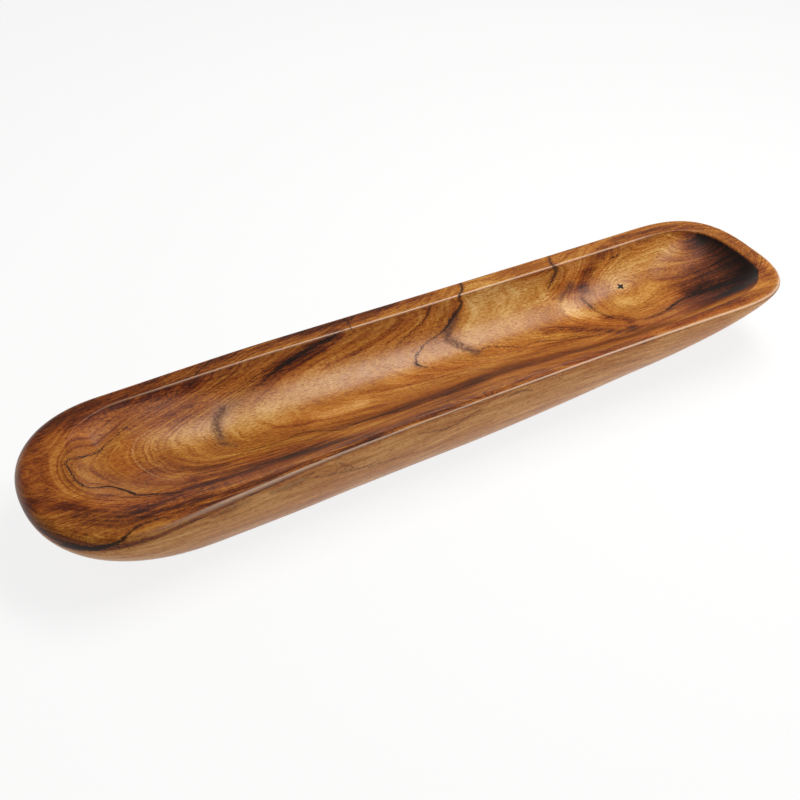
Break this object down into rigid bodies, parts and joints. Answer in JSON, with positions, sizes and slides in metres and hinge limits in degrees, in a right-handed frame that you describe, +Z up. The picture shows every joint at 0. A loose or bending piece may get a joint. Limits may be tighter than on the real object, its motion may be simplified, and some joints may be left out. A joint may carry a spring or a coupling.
{
  "type": "serving bowl",
  "caption": "Long boat-shaped serving bowl carved from a single billet of teak, with a ramped rolled end, flat lips, a sanded foot and dark filler let into its flaws.",
  "frame": {"origin": "middle of the bowl's plan, on the flat of the foot that it stands on", "axes": "+X along the bowl from the low broad end to the far end, +Y to the back, +Z up"},
  "size_m": [0.61, 0.1492, 0.064],
  "materials": {
    "teak": "sanded and oiled, satin",
    "dark_filler": "dark wood-dust and resin fill, sanded flush"
  },
  "bodies": {
    "root": {"bowl_body": "teak", "knot_filler": "dark_filler", "check_filler": "dark_filler"}
  },
  "joints": []
}
